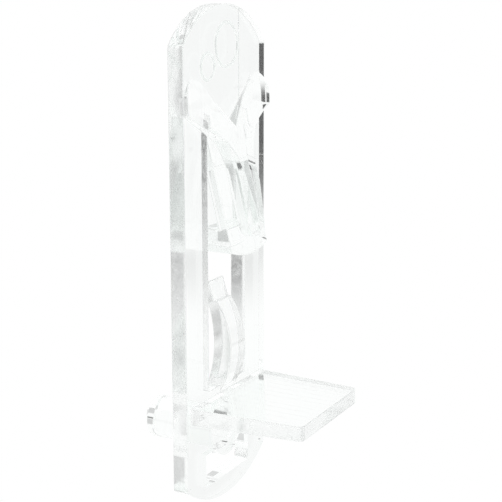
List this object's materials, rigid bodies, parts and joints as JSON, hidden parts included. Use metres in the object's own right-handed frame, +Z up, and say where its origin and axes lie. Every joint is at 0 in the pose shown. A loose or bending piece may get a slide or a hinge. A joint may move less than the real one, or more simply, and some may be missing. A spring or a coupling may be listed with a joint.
{
  "type": "shelf support pin",
  "caption": "Clear moulded shelf support: tall back plate with a round pin behind, a flat ledge in front, and in its window a bowed spring leaf under a wedge catch with a rib and two finger ears.",
  "frame": {"origin": "where the axis of the pin meets the back face of the plate", "axes": "+Z up the plate, +Y along the pin into the cabinet side, -Y out over the ledge, X across the plate"},
  "size_m": [0.0182, 0.0235, 0.0569],
  "materials": {
    "clear_plastic": "gloss"
  },
  "bodies": {
    "root": {"shelf_clip": "clear_plastic"}
  },
  "joints": []
}
